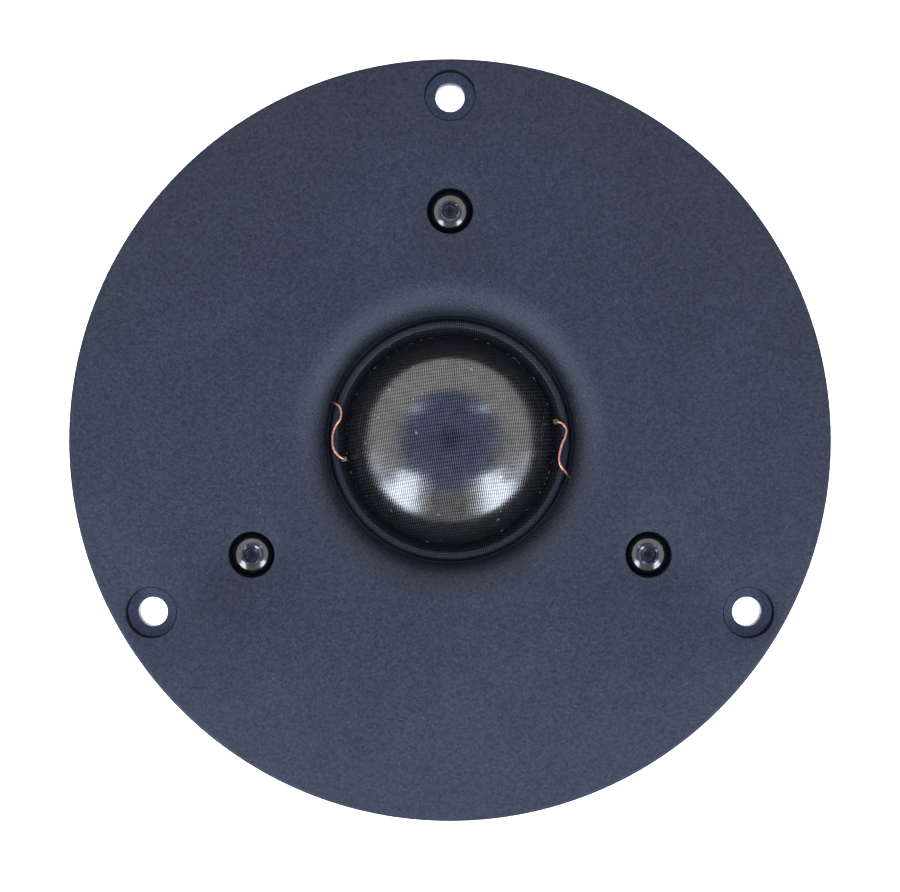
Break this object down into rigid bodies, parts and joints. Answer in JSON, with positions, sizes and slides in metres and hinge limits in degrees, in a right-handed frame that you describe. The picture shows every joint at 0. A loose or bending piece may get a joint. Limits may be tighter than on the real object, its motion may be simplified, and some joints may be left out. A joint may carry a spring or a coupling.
{
  "type": "dome tweeter",
  "caption": "Soft dome tweeter with a round recessed-hole metal faceplate, cloth dome and half-roll surround, bare lead-out wires, ferrite motor and a closed rear chamber.",
  "frame": {"origin": "centre of the faceplate's rear face, on the tweeter's axis, which is also the centre of the mounting hole circle", "axes": "+Z along the axis out of the dome, towards the listener; +Y from the centre towards the single upper mounting hole; +X to the right as seen from in front of the dome"},
  "size_m": [0.104, 0.104, 0.0569],
  "materials": {
    "anodised_aluminium": "matte",
    "blackened_steel": "polished",
    "foam_gasket": "matte",
    "coated_cloth": "satin",
    "surround_cloth": "satin",
    "coil_former_film": "gloss",
    "copper_clad_wire": "gloss",
    "lead_glue": "gloss",
    "bare_copper": "satin",
    "solder": "gloss",
    "moulded_chassis": "matte",
    "terminal_brass": "satin",
    "rivet_steel": "satin",
    "red_paint": "satin",
    "plated_steel": "satin",
    "ferrite": "matte",
    "copper_cap": "satin",
    "wool_felt": "matte",
    "cup_plastic": "matte",
    "damping_wool": "matte"
  },
  "bodies": {
    "motor_unit": {"faceplate": "anodised_aluminium", "faceplate_screws": "blackened_steel", "faceplate_gasket": "foam_gasket", "surround": "surround_cloth", "lead_wire_left": "bare_copper", "lead_wire_right": "bare_copper", "lead_solder_joints": "solder", "chassis_ring": "moulded_chassis", "terminal_positive": "terminal_brass", "terminal_negative": "terminal_brass", "terminal_rivets": "rivet_steel", "polarity_mark": "red_paint", "top_plate": "plated_steel", "magnet": "ferrite", "yoke": "plated_steel", "pole_cap": "copper_cap", "pole_felt": "wool_felt", "vent_felt": "wool_felt", "rear_gasket": "foam_gasket", "rear_cup": "cup_plastic", "rear_felt": "damping_wool"},
    "diaphragm": {"dome": "coated_cloth", "coil_former": "coil_former_film", "coil_winding": "copper_clad_wire", "coil_risers": "copper_clad_wire", "lead_glue_dots": "lead_glue"}
  },
  "joints": [
    {"name": "diaphragm_travel", "type": "slide", "parent": "motor_unit", "child": "diaphragm", "axis": [0, 0, 1], "range_m": [-0.0008, 0.0008], "stiffness_N_per_m": 100, "deforming": ["surround", "lead_wire_left", "lead_wire_right"]}
  ]
}
